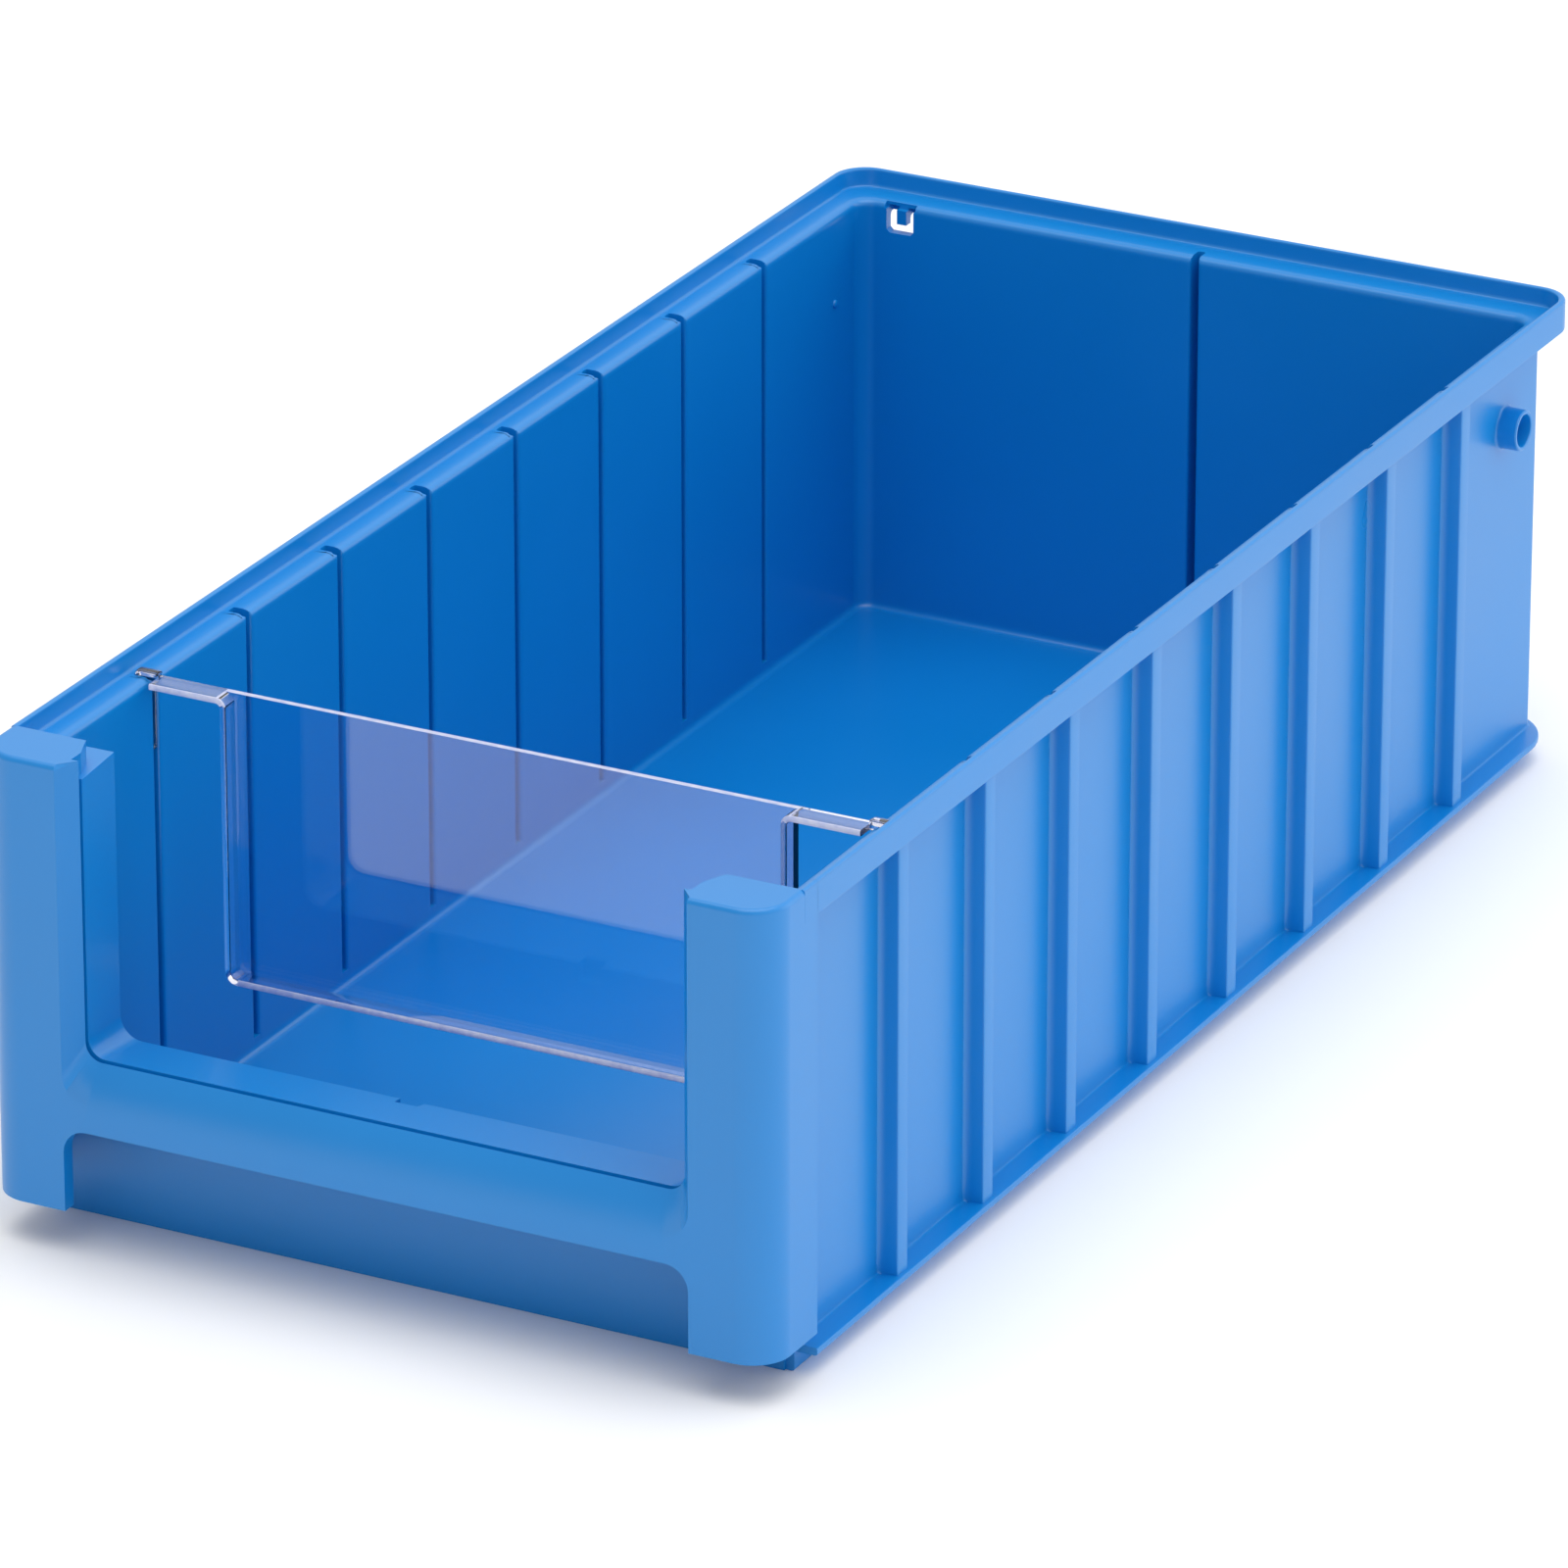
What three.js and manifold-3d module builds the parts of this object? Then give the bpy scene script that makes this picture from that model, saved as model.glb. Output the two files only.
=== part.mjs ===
// Open-front shelf bin, 500 x 234 x 140 mm, with a clear drop-in front window.
// Units are millimetres. X runs across the bin, Y from front to back, Z is up.
// The bin stands on the plane Z = 0 and is centred on X = 0 and Y = 0.
import * as THREE from 'three';
import { mergeVertices } from 'three/addons/utils/BufferGeometryUtils.js';
import Module from 'manifold-3d';

const wasm = await Module();
wasm.setup();

// ---------- driving dimensions ----------
const LENGTH = 500;
const WIDTH = 234;
const HEIGHT = 140;
const HALF_W = WIDTH / 2;
const FRONT = -LENGTH / 2;
const REAR = LENGTH / 2;

const WALL_IN = 107.5;
const WALL_OUT = 110.3;
const REAR_IN = REAR - 11.8;
const REAR_OUT = REAR - 9;
const FRONT_WALL_OUT = FRONT + 25;
const FRONT_WALL_IN = FRONT + 27.4;
const SIDE_WALL_FRONT = FRONT + 23.6;
const WALL_CORNER_R = 3;

const FLOOR_BOTTOM = 2.6;
const FLOOR_TOP = 5;
const FLANGE_BOTTOM = 5.8;
const FLANGE_TOP = 8;
const FLANGE_FRONT = FRONT + 19;
const FLANGE_REAR = REAR - 3;
const FLANGE_CORNER_R = 20;

const SKIRT_BOTTOM = 130.6;
const LEDGE_BOTTOM = 131.9;
const LEDGE_TOP = 134.3;
const UPSTAND_THICK = 2;
const RIM_CORNER_R = 10;
const RIM_FRONT = FRONT + 19;

const SLOT_COUNT = 8;
const SLOT_PITCH = 50;
const SLOT_FIRST = FRONT + 77;
const SLOT_WIDTH = 2.4;
const SLOT_DEPTH = 5.4;
const RIB_FACE_WIDTH = 5.4;
const RIB_BASE_WIDTH = 7.2;

const POST_BOTTOM = 12.4;
const POST_CAP_BOTTOM = 137.6;
const POST_SKIN = 2.4;
const POST_CORNER_R = 11;
const POST_DEPTH = 26;
const POST_CAP_DEPTH = 19;
const OPENING_FACE_HALF = 93;
const OPENING_EDGE_HALF = 89;
const FRAME_EDGE_DEPTH = 6;

const BAR_BOTTOM = 36.5;
const BAR_FACE_TOP = 44.1;
const BAR_TOP = 54.8;
const GRIP_CORNER_R = 7;

const LIP_FRONT = FRONT + 8;
const LIP_HALF = 90;
const LIP_TOP = 53.6;
const LIP_SKIN = 2.4;
const LIP_CORNER_R = 6;
const LIP_SIDE_TOP = 134.3;
const NOTCH_LEFT = -6.4;
const NOTCH_RIGHT = 0.4;
const NOTCH_BOTTOM = 47;

const BOSS_Y = FRONT + 466;
const BOSS_Z = 109;
const BOSS_R = 6;
const BOSS_HOLE_R = 4.7;
const BOSS_END = 116.6;
const BOSS_FLOOR = 112;

const CUT_LEFT = -99;
const CUT_RIGHT = -90;
const CUT_BOTTOM = 125;
const CUT_TOP = 133;
const TONGUE_LEFT = -95.5;
const TONGUE_RIGHT = -92.4;
const TONGUE_BOTTOM = 128;
const TONGUE_THICK = 2;

const WINDOW_HALF = 84.5;
const WINDOW_SKIN = 1.8;
const WINDOW_BOTTOM = 51.6;
const WINDOW_TOP = 134.3;
const WINDOW_LIP_DEPTH = 7;
const WINDOW_CORNER_R = 4;
const WINDOW_ARM_HALF = 106;
const WINDOW_TAB_HALF = 112.5;
const WINDOW_TAB_BOTTOM = 113;
const WINDOW_HEAD_WIDTH = 5;
const WINDOW_HEAD_TOP = 135.8;

// ---------- materials ----------
const blue = (name) => new THREE.MeshStandardMaterial({
  name, color: 0x1f7fd0, roughness: 0.42, metalness: 0,
});
const clear = (name) => new THREE.MeshStandardMaterial({
  name, color: 0xdfe6f2, roughness: 0.06, metalness: 0, transparent: true, opacity: 0.35,
});

// ---------- solid helpers ----------
function solid(geometry) {
  const bare = geometry.clone();
  bare.deleteAttribute('normal');
  bare.deleteAttribute('uv');
  const merged = mergeVertices(bare, 1e-5);
  const position = merged.attributes.position.array;
  const index = merged.index.array;
  return new wasm.Manifold(new wasm.Mesh({
    numProp: 3,
    vertProperties: new Float32Array(position),
    triVerts: new Uint32Array(index),
  }));
}

function box(x0, x1, y0, y1, z0, z1) {
  const geometry = new THREE.BoxGeometry(x1 - x0, y1 - y0, z1 - z0);
  geometry.translate((x0 + x1) / 2, (y0 + y1) / 2, (z0 + z1) / 2);
  return solid(geometry);
}

// Extrudes a shape drawn in plan (X, Y) from z0 up to z1.
function planExtrude(shape, z0, z1, segments = 12) {
  const geometry = new THREE.ExtrudeGeometry(shape, {
    depth: z1 - z0, bevelEnabled: false, curveSegments: segments,
  });
  geometry.translate(0, 0, z0);
  return solid(geometry);
}

// Extrudes a shape drawn in the front view (X, Z) from y0 back to y1.
function frontExtrude(shape, y0, y1, segments = 12) {
  const geometry = new THREE.ExtrudeGeometry(shape, {
    depth: y1 - y0, bevelEnabled: false, curveSegments: segments,
  });
  geometry.rotateX(Math.PI / 2);
  geometry.translate(0, y1, 0);
  return solid(geometry);
}

// Extrudes a section drawn in the side view (Y, Z) from x0 across to x1.
function sideExtrude(points, x0, x1) {
  const shape = polygon(points.map(([y, z]) => [-z, y]));
  const geometry = new THREE.ExtrudeGeometry(shape, {
    depth: x1 - x0, bevelEnabled: false,
  });
  geometry.rotateY(Math.PI / 2);
  geometry.translate(x0, 0, 0);
  return solid(geometry);
}

function polygon(points) {
  const shape = new THREE.Shape();
  shape.moveTo(points[0][0], points[0][1]);
  for (const [x, y] of points.slice(1)) {
    shape.lineTo(x, y);
  }
  shape.closePath();
  return shape;
}

function mirrored(part) {
  return part.mirror([1, 0, 0]);
}

const group = new THREE.Group();
group.name = 'shelf_bin';

function addNode(name, part, material) {
  const mesh = part.getMesh();
  const geometry = new THREE.BufferGeometry();
  geometry.setAttribute('position', new THREE.BufferAttribute(mesh.vertProperties, 3));
  geometry.setIndex(new THREE.BufferAttribute(mesh.triVerts, 1));
  geometry.computeVertexNormals();
  const node = new THREE.Mesh(geometry, material);
  node.name = name;
  group.add(node);
}

// ---------- floor ----------
addNode('floor_plate', box(
  -WALL_IN, WALL_IN, FRONT_WALL_IN, REAR_IN, FLOOR_BOTTOM, FLOOR_TOP,
), blue('moulded_blue_floor'));

// ---------- side walls, cut through where the divider slots run ----------
const slotPositions = Array.from({ length: SLOT_COUNT }, (_, k) => SLOT_FIRST + k * SLOT_PITCH);
const slotBottomX = WALL_IN + SLOT_DEPTH;

function slotCutter(y) {
  return box(WALL_IN - 1, slotBottomX, y - SLOT_WIDTH / 2, y + SLOT_WIDTH / 2,
    FLANGE_TOP + 1, SKIRT_BOTTOM + 1);
}

function sideWallRight() {
  const outline = new THREE.Shape();
  outline.moveTo(WALL_IN, SIDE_WALL_FRONT);
  outline.lineTo(WALL_OUT, SIDE_WALL_FRONT);
  outline.lineTo(WALL_OUT, REAR_OUT - WALL_CORNER_R);
  outline.absarc(WALL_OUT - WALL_CORNER_R + 0.2, REAR_OUT - WALL_CORNER_R,
    WALL_CORNER_R - 0.2, 0, Math.PI / 2, false);
  outline.lineTo(WALL_IN, REAR_OUT - 0.2);
  outline.closePath();
  let wall = planExtrude(outline, 0, SKIRT_BOTTOM);
  for (const y of slotPositions) {
    wall = wall.subtract(slotCutter(y));
  }
  return wall;
}
const wallRight = sideWallRight();
addNode('side_wall_right', wallRight, blue('moulded_blue_side_right'));
addNode('side_wall_left', mirrored(wallRight), blue('moulded_blue_side_left'));

// ---------- hollow ribs outside the walls, each holding the bottom of one slot ----------
function ribRight(y) {
  const rib = polygon([
    [WALL_OUT, y - RIB_BASE_WIDTH / 2],
    [HALF_W, y - RIB_FACE_WIDTH / 2],
    [HALF_W, y + RIB_FACE_WIDTH / 2],
    [WALL_OUT, y + RIB_BASE_WIDTH / 2],
  ]);
  return planExtrude(rib, FLANGE_TOP, SKIRT_BOTTOM).subtract(slotCutter(y));
}
slotPositions.forEach((y, k) => {
  const rib = ribRight(y);
  addNode(`side_rib_right_${k + 1}`, rib, blue(`moulded_blue_rib_right_${k + 1}`));
  addNode(`side_rib_left_${k + 1}`, mirrored(rib), blue(`moulded_blue_rib_left_${k + 1}`));
});

// ---------- rear wall with its centre slot and the U-shaped cut ----------
function rearWall() {
  const y0 = REAR_OUT - 0.5;
  let wall = box(-WALL_IN, WALL_IN, REAR_IN, REAR_OUT, 0, SKIRT_BOTTOM);
  const rib = polygon([
    [-RIB_BASE_WIDTH / 2, y0],
    [RIB_BASE_WIDTH / 2, y0],
    [RIB_FACE_WIDTH / 2, REAR_IN + SLOT_DEPTH + 1.8],
    [-RIB_FACE_WIDTH / 2, REAR_IN + SLOT_DEPTH + 1.8],
  ]);
  wall = wall.add(planExtrude(rib, FLANGE_TOP, SKIRT_BOTTOM));
  wall = wall.subtract(box(-SLOT_WIDTH / 2, SLOT_WIDTH / 2,
    REAR_IN - 1, REAR_IN + SLOT_DEPTH, FLANGE_TOP + 1, SKIRT_BOTTOM + 1));
  wall = wall.subtract(box(CUT_LEFT, CUT_RIGHT,
    REAR_IN - 1, REAR_OUT + 1, CUT_BOTTOM, CUT_TOP + 1));
  return wall;
}
addNode('rear_wall', rearWall(), blue('moulded_blue_rear'));

addNode('stop_tongue', box(
  TONGUE_LEFT, TONGUE_RIGHT, REAR_IN, REAR_IN + TONGUE_THICK, TONGUE_BOTTOM, CUT_TOP,
), blue('moulded_blue_tongue'));

// ---------- front wall, a tall U around the picking opening, with a centre notch ----------
function openingShape(half, bottom, radius, top) {
  const shape = new THREE.Shape();
  shape.moveTo(half, top);
  shape.lineTo(-half, top);
  shape.lineTo(-half, bottom + radius);
  shape.absarc(-half + radius, bottom + radius, radius, Math.PI, 1.5 * Math.PI, false);
  shape.lineTo(half - radius, bottom);
  shape.absarc(half - radius, bottom + radius, radius, 1.5 * Math.PI, 2 * Math.PI, false);
  shape.closePath();
  return shape;
}

function frontWall() {
  const plate = box(-WALL_IN, WALL_IN, FRONT_WALL_OUT, FRONT_WALL_IN, 0, SKIRT_BOTTOM);
  const opening = openingShape(LIP_HALF, LIP_TOP, LIP_CORNER_R, HEIGHT + 5);
  const notch = box(NOTCH_LEFT, NOTCH_RIGHT, FRONT_WALL_OUT - 1, FRONT_WALL_IN + 1,
    NOTCH_BOTTOM, LIP_TOP + 1);
  return plate
    .subtract(frontExtrude(opening, FRONT_WALL_OUT - 1, FRONT_WALL_IN + 1))
    .subtract(notch);
}
addNode('front_wall', frontWall(), blue('moulded_blue_front'));

// ---------- inner lip, the channel that lines the picking opening ----------
function frontLip() {
  const outer = openingShape(LIP_HALF + LIP_SKIN, LIP_TOP - LIP_SKIN,
    LIP_CORNER_R + LIP_SKIN, LIP_SIDE_TOP);
  const inner = openingShape(LIP_HALF, LIP_TOP, LIP_CORNER_R, HEIGHT + 5);
  const channel = frontExtrude(outer, LIP_FRONT, FRONT_WALL_OUT);
  return channel.subtract(frontExtrude(inner, LIP_FRONT - 1, FRONT_WALL_OUT + 1));
}
addNode('front_lip', frontLip(), blue('moulded_blue_lip'));

// ---------- corner posts: hollow shells with a closed top ----------
// The plan starts and ends at the post's inner edge, given as three points:
// the back of the edge, its front corner, and the corner inside the skin.
function postPlan([edgeBack, edgeFront, edgeInside]) {
  const shape = new THREE.Shape();
  const innerR = POST_CORNER_R - POST_SKIN;
  const cx = HALF_W - POST_CORNER_R;
  const cy = FRONT + POST_CORNER_R;
  shape.moveTo(...edgeBack);
  shape.lineTo(...edgeFront);
  shape.lineTo(cx, FRONT);
  shape.absarc(cx, cy, POST_CORNER_R, -Math.PI / 2, 0, false);
  shape.lineTo(HALF_W, FRONT + POST_DEPTH);
  shape.lineTo(WALL_OUT, FRONT + POST_DEPTH);
  shape.lineTo(WALL_OUT, FRONT + POST_DEPTH - POST_SKIN);
  shape.lineTo(HALF_W - POST_SKIN, FRONT + POST_DEPTH - POST_SKIN);
  shape.lineTo(HALF_W - POST_SKIN, cy);
  shape.absarc(cx, cy, innerR, 0, -Math.PI / 2, true);
  shape.lineTo(...edgeInside);
  shape.closePath();
  return shape;
}

function postRight() {
  const lower = postPlan([
    [OPENING_FACE_HALF, FRONT + POST_SKIN],
    [OPENING_FACE_HALF, FRONT],
    [OPENING_FACE_HALF + 1.6, FRONT + POST_SKIN],
  ]);
  const upper = postPlan([
    [OPENING_EDGE_HALF, FRONT + FRAME_EDGE_DEPTH],
    [OPENING_FACE_HALF, FRONT],
    [OPENING_FACE_HALF + 1.6, FRONT + POST_SKIN],
  ]);
  const post = planExtrude(lower, POST_BOTTOM, BAR_TOP)
    .add(planExtrude(upper, BAR_TOP, POST_CAP_BOTTOM));
  const cap = new THREE.Shape();
  cap.moveTo(OPENING_EDGE_HALF, FRONT + FRAME_EDGE_DEPTH);
  cap.lineTo(OPENING_FACE_HALF, FRONT);
  cap.lineTo(HALF_W - POST_CORNER_R, FRONT);
  cap.absarc(HALF_W - POST_CORNER_R, FRONT + POST_CORNER_R, POST_CORNER_R,
    -Math.PI / 2, 0, false);
  cap.lineTo(HALF_W, FRONT + POST_CAP_DEPTH);
  cap.lineTo(OPENING_FACE_HALF, FRONT + POST_CAP_DEPTH);
  cap.closePath();
  const rimSeat = box(WALL_OUT, HALF_W, FRONT + POST_CAP_DEPTH,
    FRONT + POST_DEPTH, SKIRT_BOTTOM, HEIGHT);
  return post.subtract(rimSeat)
    .add(planExtrude(cap, POST_CAP_BOTTOM, HEIGHT));
}
const rightPost = postRight();
addNode('post_right', rightPost, blue('moulded_blue_post_right'));
addNode('post_left', mirrored(rightPost), blue('moulded_blue_post_left'));

// ---------- pull bar under the picking opening ----------
function pullBar() {
  const section = [
    [FRONT, BAR_BOTTOM],
    [FRONT, BAR_FACE_TOP],
    [FRONT + FRAME_EDGE_DEPTH, BAR_TOP],
    [FRONT + FRAME_EDGE_DEPTH, BAR_TOP - 4.4],
    [FRONT + POST_SKIN, BAR_FACE_TOP - 0.4],
    [FRONT + POST_SKIN, BAR_BOTTOM],
  ];
  let bar = sideExtrude(section, -OPENING_FACE_HALF, OPENING_FACE_HALF);
  for (const side of [-1, 1]) {
    const gusset = new THREE.Shape();
    const edge = side * OPENING_FACE_HALF;
    const r = GRIP_CORNER_R;
    gusset.moveTo(edge, BAR_BOTTOM + 1);
    gusset.lineTo(edge, BAR_BOTTOM - r);
    if (side > 0) {
      gusset.absarc(edge - r, BAR_BOTTOM - r, r, 0, Math.PI / 2, false);
    } else {
      gusset.absarc(edge + r, BAR_BOTTOM - r, r, Math.PI, Math.PI / 2, true);
    }
    gusset.lineTo(edge - side * r, BAR_BOTTOM + 1);
    gusset.closePath();
    bar = bar.add(frontExtrude(gusset, FRONT, FRONT + POST_SKIN));
  }
  return bar;
}
addNode('pull_bar', pullBar(), blue('moulded_blue_bar'));

// ---------- rim: ledge, stacking upstand and outer skirt ----------
const rimSection = [
  [WALL_IN, SKIRT_BOTTOM],
  [WALL_OUT, SKIRT_BOTTOM],
  [WALL_OUT, LEDGE_BOTTOM],
  [HALF_W - UPSTAND_THICK, LEDGE_BOTTOM],
  [HALF_W - UPSTAND_THICK, SKIRT_BOTTOM],
  [HALF_W, SKIRT_BOTTOM],
  [HALF_W, HEIGHT],
  [HALF_W - UPSTAND_THICK, HEIGHT],
  [HALF_W - UPSTAND_THICK, LEDGE_TOP],
  [WALL_IN, LEDGE_TOP],
];

function rimRight() {
  let rim = frontExtrude(polygon(rimSection), RIM_FRONT, REAR_IN);
  for (const y of slotPositions) {
    rim = rim.subtract(box(WALL_IN - 1, slotBottomX,
      y - SLOT_WIDTH / 2, y + SLOT_WIDTH / 2, SKIRT_BOTTOM - 1, HEIGHT));
  }
  return rim;
}
const rightRim = rimRight();
addNode('rim_right', rightRim, blue('moulded_blue_rim_right'));
addNode('rim_left', mirrored(rightRim), blue('moulded_blue_rim_left'));

function roundedPlan(half, front, rear, radius) {
  const shape = new THREE.Shape();
  shape.moveTo(-half, front);
  shape.lineTo(half, front);
  shape.lineTo(half, rear - radius);
  shape.absarc(half - radius, rear - radius, radius, 0, Math.PI / 2, false);
  shape.lineTo(-half + radius, rear);
  shape.absarc(-half + radius, rear - radius, radius, Math.PI / 2, Math.PI, false);
  shape.closePath();
  return shape;
}

function rimRear() {
  const outer = roundedPlan(HALF_W, REAR_IN, REAR, RIM_CORNER_R);
  const inner = roundedPlan(HALF_W - UPSTAND_THICK, REAR_IN - 5,
    REAR - UPSTAND_THICK, RIM_CORNER_R - UPSTAND_THICK);
  const upstand = planExtrude(outer, SKIRT_BOTTOM, HEIGHT)
    .subtract(planExtrude(inner, SKIRT_BOTTOM - 1, HEIGHT + 1));
  const ledge = planExtrude(outer, LEDGE_BOTTOM, LEDGE_TOP);
  const wallTop = box(-WALL_OUT, WALL_OUT, REAR_IN, REAR_OUT - 0.2, SKIRT_BOTTOM, LEDGE_TOP);
  const slot = box(-SLOT_WIDTH / 2, SLOT_WIDTH / 2, REAR_IN - 1, REAR_IN + SLOT_DEPTH,
    SKIRT_BOTTOM - 1, LEDGE_TOP + 1);
  const cut = box(CUT_LEFT, CUT_RIGHT, REAR_IN - 1, REAR_OUT, SKIRT_BOTTOM - 1, CUT_TOP);
  return upstand.add(ledge).add(wallTop).subtract(slot).subtract(cut);
}
addNode('rim_rear', rimRear(), blue('moulded_blue_rim_rear'));

// ---------- foot flange around the base ----------
const flangePlate = planExtrude(
  roundedPlan(HALF_W, FLANGE_FRONT, FLANGE_REAR, FLANGE_CORNER_R),
  FLANGE_BOTTOM, FLANGE_TOP,
);
const sideFlange = flangePlate.intersect(
  box(WALL_OUT, HALF_W, FLANGE_FRONT, REAR_OUT, FLANGE_BOTTOM, FLANGE_TOP),
);
addNode('foot_flange_right', sideFlange, blue('moulded_blue_flange_right'));
addNode('foot_flange_left', mirrored(sideFlange), blue('moulded_blue_flange_left'));
addNode('foot_flange_rear', flangePlate.intersect(
  box(-WALL_OUT, WALL_OUT, REAR_OUT, REAR, FLANGE_BOTTOM, FLANGE_TOP),
), blue('moulded_blue_flange_rear'));

// ---------- round bosses near the top rear of both sides ----------
function boss() {
  const profile = [
    new THREE.Vector2(0, WALL_OUT),
    new THREE.Vector2(BOSS_R, WALL_OUT),
    new THREE.Vector2(BOSS_R, BOSS_END),
    new THREE.Vector2(BOSS_HOLE_R, BOSS_END),
    new THREE.Vector2(BOSS_HOLE_R, BOSS_FLOOR),
    new THREE.Vector2(0, BOSS_FLOOR),
  ];
  const geometry = new THREE.LatheGeometry(profile, 32);
  geometry.rotateZ(-Math.PI / 2);
  geometry.translate(0, BOSS_Y, BOSS_Z);
  return solid(geometry);
}
const rightBoss = boss();
addNode('boss_right', rightBoss, blue('moulded_blue_boss_right'));
addNode('boss_left', mirrored(rightBoss), blue('moulded_blue_boss_left'));

// ---------- clear window hanging in the first pair of slots ----------
function windowPanel() {
  const y = SLOT_FIRST;
  const back = y + WINDOW_SKIN / 2;
  const front = y + WINDOW_SKIN / 2 - WINDOW_LIP_DEPTH;
  const outline = openingShape(WINDOW_HALF, WINDOW_BOTTOM, WINDOW_CORNER_R, WINDOW_TOP);
  const hollow = openingShape(WINDOW_HALF - WINDOW_SKIN, WINDOW_BOTTOM + WINDOW_SKIN,
    WINDOW_CORNER_R - WINDOW_SKIN, WINDOW_TOP + 5);
  let panel = frontExtrude(outline, front, back)
    .subtract(frontExtrude(hollow, front - 1, y - WINDOW_SKIN / 2));
  for (const side of [-1, 1]) {
    const near = side * (WINDOW_HALF - WINDOW_SKIN);
    const arm = side * WINDOW_ARM_HALF;
    const tab = side * WINDOW_TAB_HALF;
    const x = (a, b) => [Math.min(a, b), Math.max(a, b)];
    panel = panel.add(box(...x(near, arm), front, back, WINDOW_TOP - WINDOW_SKIN, WINDOW_TOP));
    panel = panel.add(box(...x(near, tab), y - WINDOW_SKIN / 2, back,
      WINDOW_TOP - WINDOW_SKIN, WINDOW_HEAD_TOP));
    panel = panel.add(box(...x(side * (WALL_IN + 0.3), tab), y - WINDOW_SKIN / 2, back,
      WINDOW_TAB_BOTTOM, WINDOW_HEAD_TOP));
    panel = panel.add(box(...x(side * (WALL_IN + 0.3), tab),
      y - WINDOW_HEAD_WIDTH / 2, y + WINDOW_HEAD_WIDTH / 2, WINDOW_TOP, WINDOW_HEAD_TOP));
  }
  return panel;
}
addNode('front_window', windowPanel(), clear('clear_window'));

export default group;
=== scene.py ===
"""Looks of an open-front shelf bin with a clear drop-in window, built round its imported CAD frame.

All lengths in the makers' functions are millimetres in the frame of the CAD model: X across, Y from
the picking front to the rear, Z up. Meshes are stored in metres.
"""

import math

import bmesh
import bpy
import numpy as np
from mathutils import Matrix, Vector


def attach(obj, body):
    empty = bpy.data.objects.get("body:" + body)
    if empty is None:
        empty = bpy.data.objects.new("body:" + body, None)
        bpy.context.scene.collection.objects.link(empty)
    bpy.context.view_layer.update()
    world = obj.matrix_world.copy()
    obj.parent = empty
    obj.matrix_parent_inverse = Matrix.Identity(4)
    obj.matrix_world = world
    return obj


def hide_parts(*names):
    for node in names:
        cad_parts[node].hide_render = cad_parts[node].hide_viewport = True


bl_info = {
    "name": "Shelf bin maker",
    "version": (1, 0, 0),
    "blender": (4, 5, 0),
    "location": "View3D > Sidebar > Shelf bin",
    "description": "Builds a moulded shelf bin with its clear front window",
    "category": "Object",
}

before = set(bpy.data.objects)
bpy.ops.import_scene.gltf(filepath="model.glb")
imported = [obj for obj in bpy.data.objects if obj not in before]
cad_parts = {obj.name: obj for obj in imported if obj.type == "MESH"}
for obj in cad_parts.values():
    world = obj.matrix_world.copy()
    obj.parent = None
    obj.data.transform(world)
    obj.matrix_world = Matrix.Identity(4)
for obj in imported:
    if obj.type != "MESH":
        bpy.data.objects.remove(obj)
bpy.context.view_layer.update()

MM = 0.001
BIN, WINDOW = "bin", "window"

# metres: points closer than this are welded, and edges shorter than this are dissolved
WELD, SLIVER = 1e-5, 1e-6
# degrees: edges bent by more than this shade sharp
SHARP_FROM = 38.0


# ---------- meshes ----------
def rows(*tuples):
    """Stacks tuples as one float array."""
    return np.array(tuples, float)


def grid_faces(nu, nv, wrap_v=False):
    """Quads of a grid of nu by nv points, as rows of four indices."""
    i, j = np.meshgrid(np.arange(nu - 1), np.arange(nv if wrap_v else nv - 1), indexing="ij")
    j2 = (j + 1) % nv
    a, b, c, d = i * nv + j, i * nv + j2, (i + 1) * nv + j2, (i + 1) * nv + j
    return np.stack([a, b, c, d], -1).reshape(-1, 4)


class Skin:
    """Collects point grids and flat outlines in millimetres, and welds them into one mesh."""

    def __init__(self):
        """Starts with no points and no faces."""
        self.points, self.faces, self.count = [], [], 0

    def grid(self, points, wrap_v=False):
        """Adds a grid of points with a quad between each four neighbours, closed in v if wrapped."""
        points = np.asarray(points, float)
        self.faces += (grid_faces(*points.shape[:2], wrap_v) + self.count).tolist()
        self.add(points.reshape(-1, 3))

    def outline(self, points, flip=False):
        """Adds one flat face with these corners, in turn or reversed."""
        order = np.arange(len(points)) + self.count
        self.faces.append((order[::-1] if flip else order).tolist())
        self.add(np.asarray(points, float))

    def add(self, points):
        """Keeps a batch of points and counts it."""
        self.points.append(points)
        self.count += len(points)

    def mesh(self, name):
        """Gives the welded mesh in metres, with every face turned outwards."""
        data = bpy.data.meshes.new(name)
        data.from_pydata((np.concatenate(self.points) * MM).tolist(), [], self.faces)
        work = bmesh.new()
        work.from_mesh(data)
        bmesh.ops.remove_doubles(work, verts=work.verts, dist=WELD)
        bmesh.ops.dissolve_degenerate(work, edges=work.edges, dist=SLIVER)
        bmesh.ops.recalc_face_normals(work, faces=work.faces)
        work.to_mesh(data)
        work.free()
        data.validate()
        return data


def place(name, data, body, nodes, material):
    """Puts a finished mesh in the scene as a piece that rides on a body and stands for CAD nodes."""
    piece = bpy.data.objects.new(name, data)
    bpy.context.scene.collection.objects.link(piece)
    data.materials.append(material)
    data.shade_smooth()
    data.set_sharp_from_angle(angle=math.radians(SHARP_FROM))
    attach(piece, body)
    if nodes:
        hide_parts(*nodes)
    return piece


def moulded(name, data, nodes):
    """Places a piece of the blue moulding."""
    return place(name, data, BIN, nodes, moulding_material())


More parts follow.
